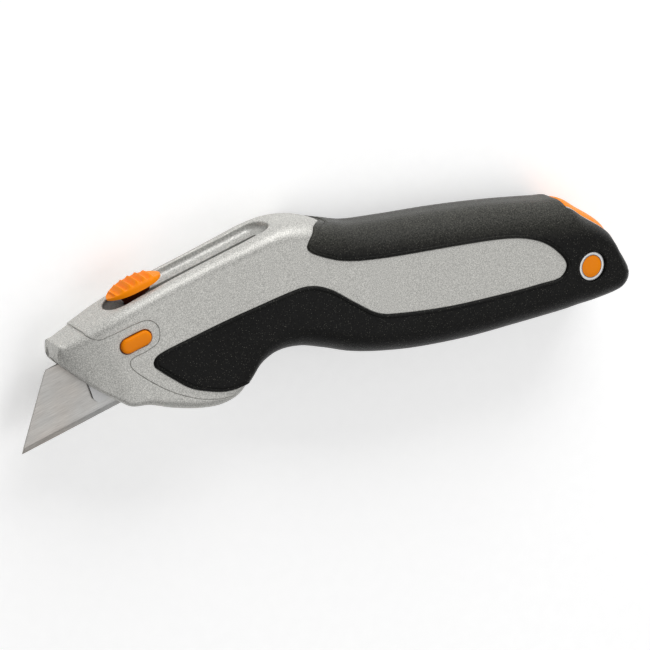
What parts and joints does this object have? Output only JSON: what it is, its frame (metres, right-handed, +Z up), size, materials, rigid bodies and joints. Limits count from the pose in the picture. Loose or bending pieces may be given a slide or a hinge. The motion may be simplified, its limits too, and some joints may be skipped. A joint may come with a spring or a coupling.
{
  "type": "utility knife",
  "caption": "Retractable utility knife with a die-cast body, rubber grips, a sliding blade carrier, a blade release button and a turning tail lid over spare blades.",
  "frame": {"origin": "on the surface that the knife lies on, under the middle of its bounding box", "axes": "+X from the blade towards the tail, +Y from the cutting edge towards the spine, +Z up from the right side that it lies on to its left side"},
  "size_m": [0.1892, 0.0718, 0.024],
  "materials": {
    "body_paint": "fine speckled metallic silver paint, satin",
    "grip_rubber": "fine matte texture",
    "orange_plastic": "semi-gloss",
    "blade_steel": "brushed lengthwise, ground edge",
    "spring_steel": "plain",
    "screw_steel": "blackened",
    "ring_metal": "satin",
    "carrier_plastic": "satin"
  },
  "bodies": {
    "body": {"right_housing": "body_paint", "left_housing": "body_paint", "nose_guard": "body_paint", "right_grip": "grip_rubber", "left_grip": "grip_rubber", "housing_screws": "screw_steel", "blade_guides": "spring_steel", "detent_plate": "spring_steel", "button_retainer": "spring_steel", "magazine_tray": "carrier_plastic", "spare_blades": "blade_steel", "magazine_spring": "spring_steel", "left_pivot_ring": "ring_metal", "right_pivot_ring": "ring_metal", "release_spring": "spring_steel"},
    "carrier": {"blade_carrier": "carrier_plastic", "blade": "blade_steel", "latch_pin": "spring_steel", "slider_spring": "spring_steel"},
    "slider": {"slider_button": "orange_plastic"},
    "latch": {"blade_latch": "spring_steel"},
    "button": {"release_button": "orange_plastic"},
    "lid": {"tail_lid": "orange_plastic"}
  },
  "joints": [
    {"name": "blade_slide", "type": "slide", "parent": "body", "child": "carrier", "axis": [1, 0, 0], "range_m": [0, 0.036]},
    {"name": "slider_press", "type": "slide", "parent": "carrier", "child": "slider", "axis": [0, -1, 0], "range_m": [0, 0.0005], "stiffness_N_per_m": 400, "springref_m": -0.0005},
    {"name": "release_press", "type": "slide", "parent": "body", "child": "button", "axis": [0, 0, -1], "range_m": [0, 0.0012], "stiffness_N_per_m": 400, "springref_m": -0.001, "deforming": ["release_spring"]},
    {"name": "latch_turn", "type": "hinge", "parent": "carrier", "child": "latch", "pos_m": [-0.03671, 0.02225, 0.0105], "axis": [0, -1, 0], "range_deg": [0, 4]},
    {"name": "lid_turn", "type": "hinge", "parent": "body", "child": "lid", "pos_m": [0.08229, -0.0226, 0.012], "axis": [0, 0, -1], "range_deg": [0, 90]}
  ],
  "couplings": [
    {"joint": "latch_turn", "follows": "release_press", "rad_per_m": 57.14}
  ]
}
